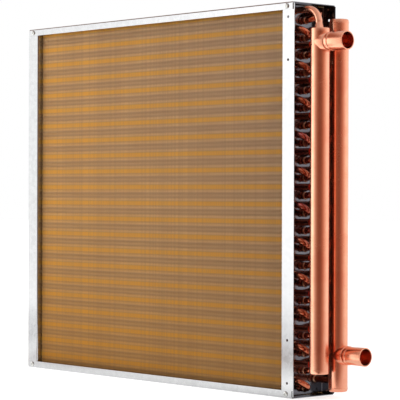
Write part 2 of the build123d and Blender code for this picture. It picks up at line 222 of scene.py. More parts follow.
class Graph:
    """Adds nodes to a tree, with a link or a plain value for each named or numbered input."""

    def __init__(self, tree):
        self.tree = tree

    def node(self, kind, inputs=None, **settings):
        made = self.tree.nodes.new(kind)
        for key, value in settings.items():
            setattr(made, key, value)
        for key, value in (inputs or {}).items():
            self.feed(made.inputs[key], value)
        return made

    def feed(self, socket, value):
        if isinstance(value, bpy.types.NodeSocket):
            self.tree.links.new(value, socket)
        elif isinstance(value, bpy.types.Node):
            self.tree.links.new(value.outputs[0], socket)
        else:
            socket.default_value = value

    def math(self, operation, *values, clamp=False):
        made = self.node("ShaderNodeMath", dict(enumerate(values)), operation=operation, use_clamp=clamp)
        return made.outputs[0]

    def plus(self, first, second):
        return self.math("ADD", first, second)

    def minus(self, first, second):
        return self.math("SUBTRACT", first, second)

    def times(self, first, second):
        return self.math("MULTIPLY", first, second)

    def over(self, first, second):
        return self.math("DIVIDE", first, second)

    def size(self, value):
        return self.math("ABSOLUTE", value)

    def matches(self, value, wanted):
        """One where a counted value is the wanted one, or else zero."""
        return self.math("COMPARE", value, wanted, 0.1)

    def vector(self, x=0.0, y=0.0, z=0.0):
        return self.node("ShaderNodeCombineXYZ", {"X": x, "Y": y, "Z": z}).outputs[0]

    def parts(self, place):
        """The X, Y and Z of a vector."""
        return self.node("ShaderNodeSeparateXYZ", {0: place}).outputs

    def vector_math(self, operation, *values):
        """A vector operation that gives a vector."""
        made = self.node("ShaderNodeVectorMath", dict(enumerate(values)), operation=operation)
        return made.outputs["Vector"]

    def measure(self, operation, *values):
        """A vector operation that gives a number."""
        made = self.node("ShaderNodeVectorMath", dict(enumerate(values)), operation=operation)
        return made.outputs["Value"]

    def scaled(self, vector, factor):
        made = self.node("ShaderNodeVectorMath", {0: vector, "Scale": factor}, operation="SCALE")
        return made.outputs["Vector"]

    def map_range(self, value, low, high, to_low=0.0, to_high=1.0, kind="LINEAR"):
        made = self.node("ShaderNodeMapRange", {
            "Value": value, "From Min": low, "From Max": high, "To Min": to_low, "To Max": to_high,
        }, interpolation_type=kind)
        return made.outputs["Result"]

    def smooth(self, value, low, high, to_low=0.0, to_high=1.0):
        return self.map_range(value, low, high, to_low, to_high, "SMOOTHSTEP")

    def mix(self, factor, first, second, blend="MIX"):
        made = self.node("ShaderNodeMix", data_type="RGBA", blend_type=blend)
        for number, value in ((0, factor), (6, first), (7, second)):
            self.feed(made.inputs[number], value)
        return made.outputs[2]

    def ramp(self, value, stops):
        made = self.node("ShaderNodeValToRGB", {"Fac": value})
        elements = made.color_ramp.elements
        for element, (place, colour) in ((elements[1], stops[-1]), (elements[0], stops[0])):
            element.position = place
            element.color = (*colour, 1.0)
        for place, colour in stops[1:-1]:
            elements.new(place).color = (*colour, 1.0)
        return made.outputs["Color"]

    def place(self):
        """Object coordinates."""
        return self.node("ShaderNodeTexCoord").outputs["Object"]

    def noise(self, place, scale, detail=3.0, roughness=0.5):
        made = self.node("ShaderNodeTexNoise", {
            "Vector": place, "Scale": scale, "Detail": detail, "Roughness": roughness,
        })
        return made.outputs["Fac"]

    def random(self, seed, low=0.0, high=1.0):
        """A random number for each point or copy."""
        made = self.node("FunctionNodeRandomValue", {2: low, 3: high, 8: seed}, data_type="FLOAT")
        return made.outputs[1]

    def line(self, count, start, offset):
        """Points in a row, joined by edges."""
        inputs = {"Count": count, "Start Location": start, "Offset": offset}
        return self.node("GeometryNodeMeshLine", inputs, mode="OFFSET")

    def skin(self, path, sides, radius):
        """A closed round skin along a row of joined points, as the node that makes it."""
        curve = self.node("GeometryNodeMeshToCurve", {"Mesh": path})
        section = self.node("GeometryNodeCurvePrimitiveCircle", {"Resolution": sides, "Radius": 1.0})
        return self.node("GeometryNodeCurveToMesh", {
            "Curve": curve, "Profile Curve": section, "Scale": radius, "Fill Caps": True,
        })

    def boolean(self, operation, first, *others):
        """A union of closed forms, or the first form with the others cut out."""
        made = self.node("GeometryNodeMeshBoolean", operation=operation, solver="EXACT")
        self.feed(made.inputs["Mesh 2" if operation == "UNION" else "Mesh 1"], first)
        for other in others:
            self.feed(made.inputs["Mesh 2"], other)
        return made


def socket_kind(value):
    """The kind of socket that holds such a value. A material's socket starts out empty."""
    if value is None:
        return "Material"
    if isinstance(value, tuple):
        return "Color" if len(value) == 4 else "Vector"
    return "Int" if isinstance(value, int) else "Float"


def new_group(name, kind, inputs, outputs):
    """A node group with the given inputs' defaults and outputs' kinds, as its graph and its inputs."""
    tree = bpy.data.node_groups.new(name, kind)
    for label, default in inputs.items():
        held = "NodeSocket" + socket_kind(default)
        tree.interface.new_socket(name=label, in_out="INPUT", socket_type=held).default_value = default
    for label, given in outputs.items():
        tree.interface.new_socket(name=label, in_out="OUTPUT", socket_type="NodeSocket" + given)
    g = Graph(tree)
    return g, g.node("NodeGroupInput").outputs


def shader_group(name, inputs):
    """A shader group that gives a colour, a roughness and a normal."""
    outputs = {"Color": "Color", "Roughness": "Float", "Normal": "Vector"}
    return new_group(name, "ShaderNodeTree", inputs, outputs)


def close_shader_group(g, colour, rough, height, strength):
    """Ends a shader group with its colour, its roughness and a bump, and returns its tree."""
    bump = g.node("ShaderNodeBump", {"Strength": strength, "Distance": 0.0001, "Height": height})
    g.node("NodeGroupOutput", {"Color": colour, "Roughness": rough, "Normal": bump})
    return g.tree


def patina_group():
    """Clouds of tarnish, heat tint and fine scratches of copper."""
    g, read = shader_group("Copper Patina", {
        "Bright": (0.95, 0.55, 0.38, 1.0),
        "Tarnish": (0.42, 0.13, 0.06, 1.0),
        "Heat": (0.55, 0.16, 0.20, 1.0),
        "Tarnish Amount": 0.45,
        "Scale": 60.0,
        "Scratch": 0.2,
    })
    place = g.place()
    clouds = g.noise(place, read["Scale"], 5.0, 0.6)
    fine = g.noise(place, 900.0, 2.0)
    spots = g.noise(place, 210.0, 3.0, 0.7)
    amount = g.smooth(g.plus(clouds, g.times(spots, 0.25)), 0.45, 0.85)
    colour = g.mix(g.times(amount, read["Tarnish Amount"]), read["Bright"], read["Tarnish"])
    heated = g.smooth(g.noise(place, 24.0, 2.0, 0.4), 0.52, 0.72, 0.0, 0.55)
    colour = g.mix(heated, colour, read["Heat"])
    scratch = g.noise(g.vector_math("MULTIPLY", place, (1400.0, 1400.0, 90.0)), 1.0, 2.0, 0.6)
    rough = g.plus(g.map_range(clouds, 0.3, 0.7, 0.13, 0.24), g.times(fine, 0.04))
    height = g.plus(g.times(scratch, read["Scratch"]), g.times(clouds, 0.3))
    return close_shader_group(g, colour, rough, height, 0.08)


def spangle_group():
    """Spangle, rolling lines and smears of galvanised sheet, with painted shade inside the headers' end
    channel.
    """
    g, read = shader_group("Galvanised Spangle", {
        "Light": (0.45, 0.453, 0.457, 1.0),
        "Dark": (0.40, 0.403, 0.407, 1.0),
        "Grime": (0.22, 0.20, 0.15, 1.0),
        "Grime Amount": 0.06,
        "Spangle Scale": 170.0,
        # Colour of the painted shade inside the headers' end channel.
        "Painted Shade": (0.10, 0.095, 0.115, 1.0),
        "Painted Shade Amount": 0.9,
    })
    place = g.place()
    spangle = g.node("ShaderNodeTexVoronoi", {"Vector": place, "Scale": read["Spangle Scale"]})
    tone = g.node("ShaderNodeSeparateColor", {0: spangle.outputs["Color"]}).outputs[0]
    rolling = g.noise(g.vector_math("MULTIPLY", place, (500.0, 500.0, 6.0)), 1.0, 2.0)
    smear = g.noise(place, 14.0, 4.0, 0.6)
    mixed = g.plus(g.times(tone, 0.45), g.times(rolling, 0.35))
    colour = g.mix(g.map_range(mixed, 0.1, 0.75), read["Dark"], read["Light"])
    colour = g.mix(g.times(g.smooth(smear, 0.5, 0.78), read["Grime Amount"]), colour, read["Grime"])
    parts = g.parts(place)
    # Painted shade: the sheet inside the headers' end channel is darkened to a dark blue-grey.
    past_web = g.math("GREATER_THAN", parts["X"], WEB_FACE_X - 0.0005)
    in_depth = g.math("LESS_THAN", g.size(parts["Y"]), CHANNEL_HALF_DEPTH)
    from_middle = g.size(g.minus(parts["Z"], CASING_HEIGHT / 2))
    in_height = g.math("LESS_THAN", from_middle, CASING_HEIGHT / 2 - 0.0004)
    inside = g.times(g.times(past_web, in_depth), in_height)
    painted_shade = g.times(inside, g.map_range(smear, 0.3, 0.6, 0.8, 1.0))
    colour = g.mix(g.times(painted_shade, read["Painted Shade Amount"]), colour, read["Painted Shade"])
    rough = g.plus(g.map_range(tone, 0.0, 1.0, 0.09, 0.13), g.times(smear, 0.05))
    return close_shader_group(g, colour, rough, mixed, 0.04)


def coating_group():
    """Coated fins: front-row tube bands, fin tones, and painted shade in ripple valleys, at right and foot.
    """
    g, read = shader_group("Fin Coating", {
        "Coating": (0.93, 0.74, 0.50, 1.0),
        "Band": (1.0, 0.65, 0.12, 1.0),
        "Shade": (0.56, 0.39, 0.26, 1.0),
        "Foot Shade Colour": (0.79, 0.66, 0.44, 1.0),
        "Band Height": 0.0092,
        "Pitch": TUBE_PITCH,
        "First Band": TOP_TUBE_Z,
        "Ripple Shade": 0.45,
        "Foot Shade": 1.0,
    })
    place = g.place()
    parts = g.parts(place)
    turns = g.over(g.minus(parts["Z"], read["First Band"]), read["Pitch"])
    near = g.size(g.minus(turns, g.math("ROUND", turns)))
    half_band = g.over(g.times(read["Band Height"], 0.5), read["Pitch"])
    outside = g.math("SMOOTH_MIN", g.over(near, half_band), 1.0, 0.12)
    band = g.smooth(g.math("SUBTRACT", 1.0, outside, clamp=True), 0.0, 0.55)
    between = g.smooth(near, 0.2, 0.48, 0.0, 0.38)
    valley = g.smooth(g.math("COSINE", g.times(turns, 8.0 * math.pi)), 0.5, -0.8)
    cloud = g.noise(g.vector_math("MULTIPLY", place, (16.0, 16.0, 5.0)), 1.0, 3.0, 0.6)
    leftward = g.map_range(parts["X"], -0.3, 0.3, 1.0, 0.0)
    low = g.map_range(parts["Z"], 0.0, 0.56, 1.0, 0.0)
    # Painted light: the fins turn more orange to the left and low down, for warm light bounced between
    # them.
    painted_warm_light = g.plus(g.times(leftward, 0.7), g.times(low, 0.3))
    colour = g.mix(g.map_range(cloud, 0.3, 0.7, 0.0, 0.35), read["Coating"], read["Shade"])
    colour = g.mix(g.times(painted_warm_light, 0.55), colour, read["Band"])
    # Painted shade: the ripple valleys are darkened towards the shade colour.
    colour = g.mix(g.times(valley, read["Ripple Shade"]), colour, read["Shade"])
    colour = g.mix(between, colour, read["Shade"])
    colour = g.mix(g.times(band, 0.85), colour, read["Band"])
    tone = g.node("ShaderNodeAttribute", attribute_name="fin_tone").outputs["Fac"]
    colour = g.mix(g.map_range(tone, 0.0, 1.0, 0.0, 0.3), colour, read["Shade"])
    # Painted shade: the fins darken a little towards the right.
    colour = g.scaled(colour, g.map_range(leftward, 0.0, 1.0, 0.93, 1.0))
    # Painted shade: the fins darken towards their foot, where less light reaches.
    foot = g.times(g.math("POWER", low, 2.0), read["Foot Shade"])
    colour = g.mix(foot, colour, g.mix(1.0, colour, read["Foot Shade Colour"], "MULTIPLY"))
    rough = g.map_range(cloud, 0.3, 0.7, 0.3, 0.42)
    return close_shader_group(g, colour, rough, cloud, 0.1)


def blank_material(name):
    """A material with an empty node tree, and its graph."""
    material = bpy.data.materials.new(name)
    material.use_nodes = True
    material.node_tree.nodes.clear()
    return material, Graph(material.node_tree)


def finish_material(name, group, values, metallic=1.0, roughness_scale=1.0, coat=0.0):
    """A Principled material fed by a shader group, with the finish's own values on the group's sockets."""
    material, g = blank_material(name)
    source = g.node("ShaderNodeGroup", values, node_tree=group)
    shader = g.node("ShaderNodeBsdfPrincipled", {
        "Base Color": source.outputs["Color"],
        "Roughness": g.math("MULTIPLY", source.outputs["Roughness"], roughness_scale, clamp=True),
        "Normal": source.outputs["Normal"],
        "Metallic": metallic,
        "Coat Weight": coat,
        "Coat Roughness": 0.15,
    })
    g.node("ShaderNodeOutputMaterial", {"Surface": shader})
    return material


def shared_materials():
    """All finishes by name, made once."""
    if "Coated Fins" not in bpy.data.materials:
        copper = patina_group()
        zinc = spangle_group()
        finish_material("Coated Fins", coating_group(), {}, 0.35, 1.0, 0.2)
        # The small tubes' copper is darker and redder than the headers': heavier tarnish, and painted shade
        # of the end channel.
        finish_material("Small Tube Copper", copper, {
            "Bright": (0.74, 0.24, 0.13, 1.0), "Tarnish": (0.34, 0.07, 0.03, 1.0), "Tarnish Amount": 0.8,
        })
        finish_material("Header Copper", copper, {
            "Bright": (0.94, 0.44, 0.29, 1.0), "Tarnish": (0.88, 0.32, 0.18, 1.0), "Tarnish Amount": 0.5,
            "Heat": (0.88, 0.33, 0.21, 1.0), "Scale": 35.0,
        }, 1.0, 1.15)
        finish_material("Braze", copper, {
            "Bright": (0.78, 0.50, 0.32, 1.0), "Tarnish": (0.30, 0.12, 0.07, 1.0), "Tarnish Amount": 0.8,
            "Scale": 300.0,
        }, 1.0, 1.6)
        finish_material("Galvanised Sheet", zinc, {})
        finish_material("Zinc Screws", zinc, {
            "Light": (0.62, 0.62, 0.60, 1.0), "Dark": (0.42, 0.42, 0.40, 1.0), "Spangle Scale": 900.0,
        }, 1.0, 1.6)
    return {item.name: item for item in bpy.data.materials}


def face_outward(mesh):
    """Turns the faces outward, by the sign of the enclosed volume."""
    mesh.calc_loop_triangles()
    corners = np.empty(len(mesh.loop_triangles) * 3, dtype=np.int32)
    mesh.loop_triangles.foreach_get("vertices", corners)
    places = np.empty(len(mesh.vertices) * 3)
    mesh.vertices.foreach_get("co", places)
    a, b, c = np.moveaxis(places.reshape(-1, 3)[corners.reshape(-1, 3)], 1, 0)
    volume = float(np.einsum("ij,ij->i", a, np.cross(b, c)).sum()) / 6.0
    if abs(volume) < 1e-12:
        raise RuntimeError(f"{mesh.name} encloses no volume")
    if volume < 0.0:
        mesh.flip_normals()


def place_piece(name, mesh, slot, *nodes, smooth=30.0):
    """Links a finished mesh as a piece of the object that stands for the given CAD nodes."""
    face_outward(mesh)
    if smooth:
        mesh.shade_smooth()
        mesh.set_sharp_from_angle(angle=math.radians(smooth))
    mesh.name = name
    piece = bpy.data.objects.new(name, mesh)
    bpy.context.scene.collection.objects.link(piece)
    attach(piece, "root")
    if nodes:
        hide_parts(*nodes)


def numbered(name):
    """The CAD nodes of a group that has one for each water circuit."""
    return [f"{name}_{number:02d}" for number in range(1, CIRCUITS + 1)]


def mesh_from(name, points, faces, materials, slots=None):
    """A plain mesh with its materials, and the number of each face's material where there are several."""
    mesh = bpy.data.meshes.new(name)
    mesh.from_pydata([tuple(point) for point in points], [], faces)
    for material in materials:
        mesh.materials.append(material)
    if slots:
        mesh.polygons.foreach_set("material_index", slots)
    mesh.update()
    return mesh


def ring_mesh(name, rings, material, closed=False):
    """Skins a list of equal rings of points. Caps close the ends, or the last ring joins the first."""
    sides = len(rings[0])
    last = (len(rings) - 1) * sides
    faces = []
    for level in range(len(rings) if closed else len(rings) - 1):
        low = level * sides
        high = ((level + 1) % len(rings)) * sides
        for step in range(sides):
            after = (step + 1) % sides
            faces.append((low + step, low + after, high + after, high + step))
    if not closed:
        faces.append(tuple(reversed(range(sides))))
        faces.append(tuple(range(last, last + sides)))
    return mesh_from(name, [point for ring in rings for point in ring], faces, [material])


def ring_points(place, along, radius, sides):
    """Points of a ring round the local Z axis of the given matrix."""
    angles = [2.0 * math.pi * step / sides for step in range(sides)]
    return [place @ Vector((radius * math.cos(angle), radius * math.sin(angle), along)) for angle in angles]


def turned(name, profile, place, sides, material, closed=False):
    """A turned form: profile lists (along, radius) on the local Z axis of the given matrix."""
    rings = [ring_points(place, along, radius, sides) for along, radius in profile]
    return ring_mesh(name, rings, material, closed)


def joined(name, meshes):
    """Joins meshes into one in which each keeps its materials."""
    points = []
    faces = []
    slots = []
    materials = []
    for mesh in meshes:
        offset = len(points)
        points.extend(tuple(vertex.co) for vertex in mesh.vertices)
        for polygon in mesh.polygons:
            faces.append(tuple(offset + index for index in polygon.vertices))
            material = mesh.materials[polygon.material_index]
            if material not in materials:
                materials.append(material)
            slots.append(materials.index(material))
        bpy.data.meshes.remove(mesh)
    return mesh_from(name, points, faces, materials, slots)


def geometry_tree(name, inputs):
    """A geometry tree that makes one form and paints it with the material that it is given."""
    return new_group(name, "GeometryNodeTree", {**inputs, "Material": None}, {"Geometry": "Geometry"})


def close_geometry_tree(g, geometry, material):
    """Ends a tree with real geometry and its material, and returns the tree."""
    real = g.node("GeometryNodeRealizeInstances", {"Geometry": geometry})
    painted = g.node("GeometryNodeSetMaterial", {"Geometry": real, "Material": material})
    g.node("NodeGroupOutput", {0: painted})
    return g.tree


# Inputs of a tree that repeats its form down the coil.
COLUMN_INPUTS = {
    "Count": CIRCUITS,
    "First": (0.0, 0.0, 0.0),
    "Step": 2.0 * TUBE_PITCH,
    "Sides": 20,
}


def close_column_tree(g, read, form, tilt=0.0, turn=0.0):
    """Ends a tree with its form repeated down the coil from the first place."""
    line = g.line(read["Count"], read["First"], g.vector(0.0, 0.0, g.times(read["Step"], -1.0)))
    copies = g.node("GeometryNodeInstanceOnPoints", {
        "Points": line, "Instance": form, "Rotation": g.vector(tilt, 0.0, turn),
    })
    return close_geometry_tree(g, copies, read["Material"])


def grown(name, tree, values):
    """Runs a geometry tree with the given input values and returns the result as a plain mesh."""
    blank = bpy.data.meshes.new(name + "_carrier")
    carrier = bpy.data.objects.new(name + "_carrier", blank)
    bpy.context.scene.collection.objects.link(carrier)
    modifier = carrier.modifiers.new("Growth", "NODES")
    modifier.node_group = tree
    sockets = {
        item.name: item.identifier
        for item in tree.interface.items_tree
        if item.item_type == "SOCKET" and item.in_out == "INPUT"
    }
    for label, value in values.items():
        modifier[sockets[label]] = value
    depsgraph = bpy.context.evaluated_depsgraph_get()
    mesh = bpy.data.meshes.new_from_object(carrier.evaluated_get(depsgraph))
    carrier.modifiers.remove(modifier)
    bpy.data.objects.remove(carrier)
    bpy.data.meshes.remove(blank)
    if not mesh.polygons:
        raise RuntimeError(f"{name} came out empty")
    return mesh


def fin_tree():
    """A row of thin fins with pressed ripples, four to a tube pitch, one of them left flat."""
    g, read = geometry_tree("Rippled Fins", {
        "Count": 92,
        "First": -0.29,
        "Pitch": 0.00212,
        "Thickness": 0.00018,
        "Depth": 0.066,
        "Tube Pitch": TUBE_PITCH,
        "Pitches": TUBES_PER_ROW,
        "Foot": FIN_FOOT_Z,
        "Ripple": 0.0009,
        "Jitter": 0.00016,
        "Seed": 7,
    })
    height = g.times(read["Tube Pitch"], read["Pitches"])
    half_height = g.times(height, 0.5)
    per_pitch = 8.0
    flat_level = 6.0
    levels = g.plus(g.times(read["Pitches"], per_pitch), 1.0)
    size = g.vector(read["Thickness"], read["Depth"], height)
    strip = g.node("GeometryNodeMeshCube", {"Size": size, "Vertices Z": levels})
    from_foot = g.plus(g.parts(g.node("GeometryNodeInputPosition"))["Z"], half_height)
    level = g.math("ROUND", g.over(from_foot, g.over(read["Tube Pitch"], per_pitch)))
    even = g.matches(g.math("MODULO", level, 2.0), 0.0)
    flat = g.matches(g.math("MODULO", level, per_pitch), flat_level)
    push = g.times(g.minus(even, flat), read["Ripple"])
    rippled = g.node("GeometryNodeSetPosition", {"Geometry": strip, "Offset": g.vector(push)})
    start = g.vector(read["First"], 0.0, g.plus(read["Foot"], half_height))
    line = g.line(read["Count"], start, g.vector(read["Pitch"]))
    shift = g.random(read["Seed"], g.times(read["Jitter"], -1.0), read["Jitter"])
    moved = g.node("GeometryNodeSetPosition", {"Geometry": line, "Offset": g.vector(shift)})
    copies = g.node("GeometryNodeInstanceOnPoints", {"Points": moved, "Instance": rippled})
    toned = g.node("GeometryNodeStoreNamedAttribute", {
        "Geometry": copies, "Name": "fin_tone", "Value": g.random(g.plus(read["Seed"], 11.0)),
    }, data_type="FLOAT", domain="INSTANCE")
    return close_geometry_tree(g, toned, read["Material"])


def u_tube_tree():
    """Round U-shaped tubes repeated down the coil."""
    g, read = geometry_tree("U Tubes", {
        **COLUMN_INPUTS,
        "Tilt": 0.0,
        "Turn": 0.0,
        "Leg": 0.001,
        "Bend Radius": BEND_RADIUS,
        "Tube Radius": TUBE_RADIUS,
        "Bend Steps": 14,
    })
    points = g.plus(read["Bend Steps"], 3.0)
    index = g.node("GeometryNodeInputIndex").outputs[0]
    share = g.math("DIVIDE", g.minus(index, 1.0), read["Bend Steps"], clamp=True)
    angle = g.times(share, math.pi)
    end = g.math("MAXIMUM", g.matches(index, 0.0), g.matches(index, g.minus(points, 1.0)))
    out = g.plus(read["Leg"], g.times(read["Bend Radius"], g.math("SINE", angle)))
    along = g.times(g.minus(1.0, end), out)
    up = g.times(read["Bend Radius"], g.math("COSINE", angle))
    row = g.line(points, (0.0, 0.0, 0.0), (0.0, 0.0, -0.001))
    path = g.node("GeometryNodeSetPosition", {"Geometry": row, "Position": g.vector(along, 0.0, up)})
    tube = g.skin(path, read["Sides"], read["Tube Radius"])
    return close_column_tree(g, read, tube, read["Tilt"], read["Turn"])


def sleeve_tree():
    """Belled mouths, filler rings and straight feeders: stepped round sleeves repeated down the coil."""
    g, read = geometry_tree("Sleeves", {
        **COLUMN_INPUTS,
        "Length": 0.005,
        "Start Radius": 0.005,
        "Middle Radius": 0.005,
        "End Radius": 0.005,
        "Flare": 0.0015,
    })
    index = g.node("GeometryNodeInputIndex").outputs[0]
    length = read["Length"]
    middle = read["Middle Radius"]
    flare = read["Flare"]
    part_flare = g.times(flare, 0.4)

    def eased(radius):
        """A radius between an end's and the middle's."""
        return g.plus(g.times(radius, 0.35), g.times(middle, 0.65))

    def chosen(values):
        """The value in the list that has the point's own number."""
        total = 0.0
        for number, value in enumerate(values):
            total = g.plus(total, g.times(g.matches(index, float(number)), value))
        return total

    along = chosen((0.0, part_flare, flare, g.minus(length, flare), g.minus(length, part_flare), length))
    radius = chosen((
        read["Start Radius"], eased(read["Start Radius"]), middle,
        middle, eased(read["End Radius"]), read["End Radius"]))
    row = g.line(6, (0.0, 0.0, 0.0), (0.001, 0.0, 0.0))
    path = g.node("GeometryNodeSetPosition", {"Geometry": row, "Position": g.vector(along)})
    return close_column_tree(g, read, g.skin(path, read["Sides"], radius))


def screw_tree():
    """Pan heads with a cross recess on the four corners of one face of the casing."""
    g, read = geometry_tree("Pan Heads", {
        "Half Width": 0.3035,
        "Low": 0.006,
        "High": 0.562,
        "Face Y": -CASING_FACE_Y,
        "Facing": 0.0,
        "Radius": 0.0039,
        "Height": 0.00195,
        "Recess": 0.0042,
    })
    radius = read["Radius"]
    height = read["Height"]
    ball = g.node("GeometryNodeMeshUVSphere", {"Segments": 32, "Rings": 16, "Radius": 1.0})
    position = g.parts(g.node("GeometryNodeInputPosition"))
    rise = g.math("POWER", g.math("MAXIMUM", position["Z"], 0.0), 0.62)
    spot = g.vector(g.times(position["X"], radius), g.times(position["Y"], radius), g.times(rise, height))
    dome = g.node("GeometryNodeSetPosition", {"Geometry": ball, "Position": spot})
    shank = g.node("GeometryNodeMeshCylinder", {
        "Vertices": 32, "Radius": g.times(radius, 0.5), "Depth": height,
    })
    slim = g.times(read["Recess"], 0.22)
    bars = [
        g.node("GeometryNodeMeshCube", {"Size": g.vector(*size)})
        for size in ((read["Recess"], slim, height), (slim, read["Recess"], height))
    ]
    cross = g.node("GeometryNodeTransform", {
        "Geometry": g.boolean("UNION", *bars), "Translation": g.vector(0.0, 0.0, height),
    })
    head = g.boolean("DIFFERENCE", g.boolean("UNION", dome, shank), cross)
    corners = g.node("GeometryNodeJoinGeometry")
    for x in (g.times(read["Half Width"], -1.0), read["Half Width"]):
        for z in (read["Low"], read["High"]):
            corner = g.vector(x, read["Face Y"], z)
            g.feed(corners.inputs[0], g.node("GeometryNodePoints", {"Count": 1, "Position": corner}))
    heads = g.node("GeometryNodeInstanceOnPoints", {
        "Points": corners, "Instance": head, "Rotation": g.vector(math.pi / 2, 0.0, read["Facing"]),
    })
    return close_geometry_tree(g, heads, read["Material"])


class COIL_OT_fins(bpy.types.Operator):
    """Builds the rippled, coated fins in three blocks"""

    bl_idname = "coil.fins"
    bl_label = "Fins"

    def execute(self, context):
        settings = context.scene.coil_fins
        tree = fin_tree()
        pitch = settings.length / (settings.count - 1)
        per_block = math.ceil(settings.count / 3)
        start = 0
        for number in range(1, 4):
            count = min(per_block, settings.count - start)
            mesh = grown(f"fins_{number}", tree, {
                "Count": count,
                "First": -settings.length / 2 - settings.ripple / 2 + pitch * start,
                "Pitch": pitch,
                "Thickness": settings.thickness,
                "Depth": settings.depth,
                "Ripple": settings.ripple,
                "Jitter": settings.jitter,
                "Seed": settings.seed + number,
                "Material": shared_materials()["Coated Fins"],
            })
            nodes = ("fin_pack",) if number == 1 else ()
            place_piece(f"fins_{number}", mesh, "coated_fins", *nodes, smooth=None)
            start += count
        return {"FINISHED"}


class COIL_OT_tubes(bpy.types.Operator):
    """Builds the hairpins, return bends, belled mouths and feeders"""

    bl_idname = "coil.tubes"
    bl_label = "Tubes and Bends"

    def execute(self, context):
        settings = context.scene.coil_tubes
        sleeve = sleeve_tree()
        self.add_bends(settings)
        self.add_mouths(settings, sleeve)
        self.add_feeders(settings, sleeve)
        return {"FINISHED"}

    def add_bends(self, settings):
        """Hairpins through the fins, and the slanting return bends on the headers' side."""
        tree = u_tube_tree()
        shared = {
            "Bend Steps": settings.bend_steps,
            "Sides": settings.sides,
            "Material": shared_materials()["Small Tube Copper"],
        }
        for row in range(3):
            name = f"hairpins_row_{row + 1}"
            mesh = grown(name, tree, {
                "First": (TUBE_MOUTH_X, row_y(row), (tube_z(row, 1) + tube_z(row, 2)) / 2),
                "Turn": math.pi,
                "Leg": TUBE_MOUTH_X - HAIRPIN_BEND_X,
                **shared,
            })
            place_piece(name, mesh, "small_copper_tube", *(numbered("hairpins") if row == 0 else ()))
        lean = math.atan2(ROW_PITCH, TUBE_PITCH / 2)
        for name, row, first, tilt in (
            ("front_return_bend", 0, 2, lean),
            ("rear_return_bend", 1, 1, -lean),
        ):
            y = (row_y(row) + row_y(row + 1)) / 2
            z = (tube_z(row, first) + tube_z(row + 1, first)) / 2
            mesh = grown(name + "s", tree, {
                "First": (TUBE_MOUTH_X - 0.001, y, z),
                "Tilt": tilt,
                "Leg": 0.001,
                **shared,
            })
            place_piece(name + "s", mesh, "small_copper_tube", *numbered(name))

    def sleeves(self, settings, tree, row, first, ends, radii, finish, **others):
        """A column of sleeves between two places along X, with radii for their start, middle and end."""
        return grown("sleeves", tree, {
            "First": (ends[0], row_y(row), tube_z(row, first)),
            "Length": ends[1] - ends[0],
            "Start Radius": radii[0],
            "Middle Radius": radii[1],
            "End Radius": radii[2],
            "Sides": settings.sides,
            "Material": shared_materials()[finish],
            **others,
        })

    def add_mouths(self, settings, tree):
        """Belled tube ends and filler rings between the tube sheet and the return bends."""
        bell = TUBE_RADIUS + settings.bell_growth
        bell_ends = (WEB_FACE_X - 0.0005, TUBE_MOUTH_X + 0.0008)
        bell_radii = (TUBE_RADIUS + 0.0014, bell, bell + 0.0002)
        growth = settings.braze_growth
        ring_ends = (TUBE_MOUTH_X - 0.0004, TUBE_MOUTH_X + 0.0022)
        ring_radii = (TUBE_RADIUS + growth * 0.55, TUBE_RADIUS + growth, TUBE_RADIUS)
        shared = {"Count": TUBES_PER_ROW, "Step": TUBE_PITCH, "Flare": 0.0012}
        meshes = []
        for row in range(3):
            for ends, radii, finish in (
                (bell_ends, bell_radii, "Small Tube Copper"),
                (ring_ends, ring_radii, "Braze"),
            ):
                meshes.append(self.sleeves(settings, tree, row, 1, ends, radii, finish, **shared))
        place_piece("tube_mouths", joined("tube_mouths", meshes), "small_copper_tube")

    def add_feeders(self, settings, tree):
        """Straight feeders with a flare of filler where they enter their header."""
        surface = HEADER_X - math.sqrt(HEADER_RADIUS ** 2 - HEADER_INSET ** 2)
        ends = (TUBE_MOUTH_X - 0.0005, surface + 0.0008)
        radii = (TUBE_RADIUS, TUBE_RADIUS, TUBE_RADIUS + 0.0018)
        for name, row, first, count in (("front_feeders", 0, 3, 10), ("rear_feeders", 2, 2, 11)):
            shared = {"Count": count, "Flare": 0.003}
            mesh = self.sleeves(settings, tree, row, first, ends, radii, "Small Tube Copper", **shared)
            place_piece(name, mesh, "small_copper_tube", name)


class COIL_OT_elbow(bpy.types.Operator):
    """Builds the swept elbow that feeds the top tube from the front header"""

    bl_idname = "coil.elbow"
    bl_label = "Top Feed Elbow"

    radius: metres("Bend Radius", "Bend radius of the elbow's centre line", 0.021)

    def execute(self, context):
        top = tube_z(0, 1)
        bend_x = HEADER_X - self.radius
        quarter = math.pi / 2
        steps = 18
        growth = 0.0003
        straight = (TUBE_MOUTH_X - 0.001, TUBE_MOUTH_X + 0.0045)
        stations = [(x, top, 0.0, TUBE_RADIUS) for x in straight]
        for step in range(steps + 1):
            angle = quarter * step / steps
            x = bend_x + self.radius * math.sin(angle)
            z = top - self.radius * (1.0 - math.cos(angle))
            stations.append((x, z, angle, TUBE_RADIUS + growth * step / steps))
        for height, radius in ELBOW_FOOT:
            stations.append((HEADER_X, FRONT_HEADER_TOP + height, quarter, radius))
        rings = []
        for x, z, angle, radius in stations:
            along_path = Matrix.Rotation(quarter + angle, 4, "Y") @ Matrix.Rotation(quarter, 4, "Z")
            place = Matrix.Translation((x, row_y(0), z)) @ along_path
            rings.append(ring_points(place, 0.0, radius, context.scene.coil_tubes.sides + 12))
        mesh = ring_mesh("elbow", rings, shared_materials()["Header Copper"])
        place_piece("top_feed_elbow_round", mesh, "header_copper", "top_feed_elbow")
        return {"FINISHED"}


